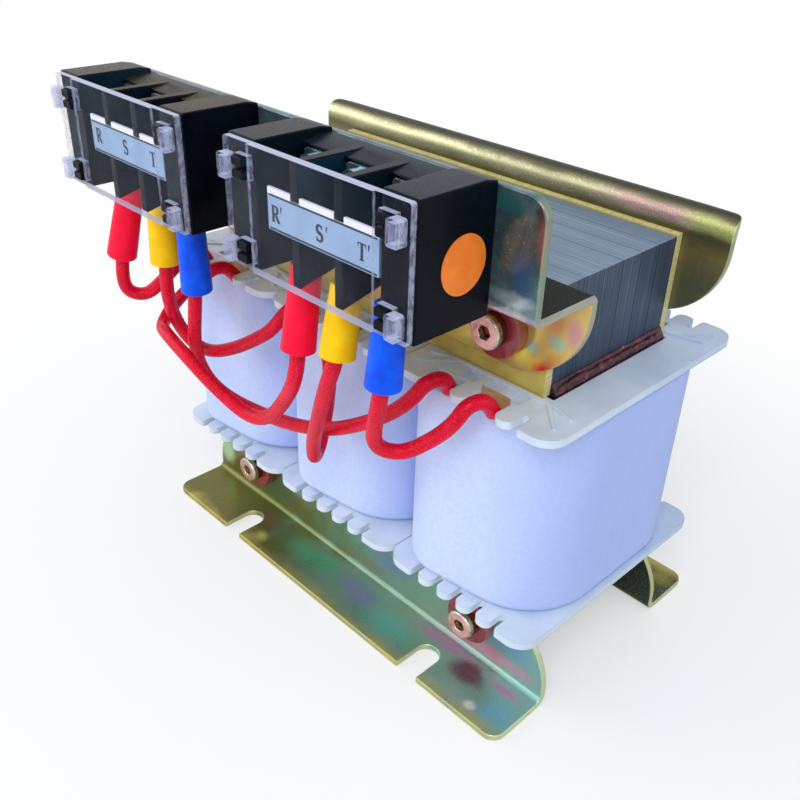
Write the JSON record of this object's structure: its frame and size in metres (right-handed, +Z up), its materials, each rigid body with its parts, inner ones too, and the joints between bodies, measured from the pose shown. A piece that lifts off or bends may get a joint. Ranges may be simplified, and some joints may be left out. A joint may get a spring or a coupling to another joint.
{
  "type": "line reactor",
  "caption": "Three-phase line reactor: laminated core with paper-wrapped coils on slotted bobbins, clamp brackets with slotted feet, and covered terminal blocks with red leads.",
  "frame": {"origin": "on the floor, at the centre of the pattern of the four foot slots, under the middle of the core", "axes": "+X along the core from the left coil to the right coil, seen from the terminal side; -Y towards the terminal side; +Z up"},
  "size_m": [0.1832, 0.1439, 0.18],
  "materials": {
    "lamination_steel": "satin",
    "gap_resin": "gloss",
    "board_yellow": "matt",
    "chromated_steel": "satin",
    "bolt_steel": "satin",
    "plain_steel": "satin",
    "phenolic_red": "gloss",
    "tube_plastic": "matt",
    "nylon_milky": "satin",
    "wrap_paper": "matt",
    "kraft_paper": "matt",
    "enamelled_copper": "gloss",
    "block_black": "gloss",
    "cover_clear": "gloss",
    "label_paper": "matt",
    "plated_brass": "satin",
    "tinned_copper": "satin",
    "vinyl_red": "matt",
    "vinyl_yellow": "matt",
    "vinyl_blue": "matt",
    "braid_red": "gloss",
    "sticker_orange": "matt"
  },
  "bodies": {
    "root": {"core_stack": "lamination_steel", "core_yoke": "lamination_steel", "gap_spacers": "gap_resin", "insulation_board_top_front": "board_yellow", "insulation_board_top_rear": "board_yellow", "insulation_board_bottom_front": "board_yellow", "insulation_board_bottom_rear": "board_yellow", "foot_bracket_front": "chromated_steel", "foot_bracket_rear": "chromated_steel", "top_bracket_rear": "chromated_steel", "terminal_bracket": "chromated_steel", "clamp_bolts": "bolt_steel", "clamp_nuts": "plain_steel", "steel_washers": "plain_steel", "insulating_washers": "phenolic_red", "insulating_tubes": "tube_plastic", "bobbin_left": "nylon_milky", "coil_wrap_left": "wrap_paper", "winding_left": "enamelled_copper", "bobbin_middle": "nylon_milky", "coil_wrap_middle": "wrap_paper", "winding_middle": "enamelled_copper", "bobbin_right": "nylon_milky", "coil_wrap_right": "wrap_paper", "winding_right": "enamelled_copper", "terminal_block_left": "block_black", "terminal_cover_left": "cover_clear", "label_strip_left": "label_paper", "terminal_bars_left": "plated_brass", "terminal_screws_left": "plain_steel", "ring_lugs_left": "tinned_copper", "sleeve_left_red": "vinyl_red", "lead_left_red": "braid_red", "sleeve_left_yellow": "vinyl_yellow", "lead_left_yellow": "braid_red", "sleeve_left_blue": "vinyl_blue", "lead_left_blue": "braid_red", "terminal_block_right": "block_black", "terminal_cover_right": "cover_clear", "label_strip_right": "label_paper", "terminal_bars_right": "plated_brass", "terminal_screws_right": "plain_steel", "ring_lugs_right": "tinned_copper", "sleeve_right_red": "vinyl_red", "lead_right_red": "braid_red", "sleeve_right_yellow": "vinyl_yellow", "lead_right_yellow": "braid_red", "sleeve_right_blue": "vinyl_blue", "lead_right_blue": "braid_red", "block_fixing_screws": "plain_steel", "inspection_sticker": "sticker_orange", "slot_papers": "kraft_paper"}
  },
  "joints": []
}
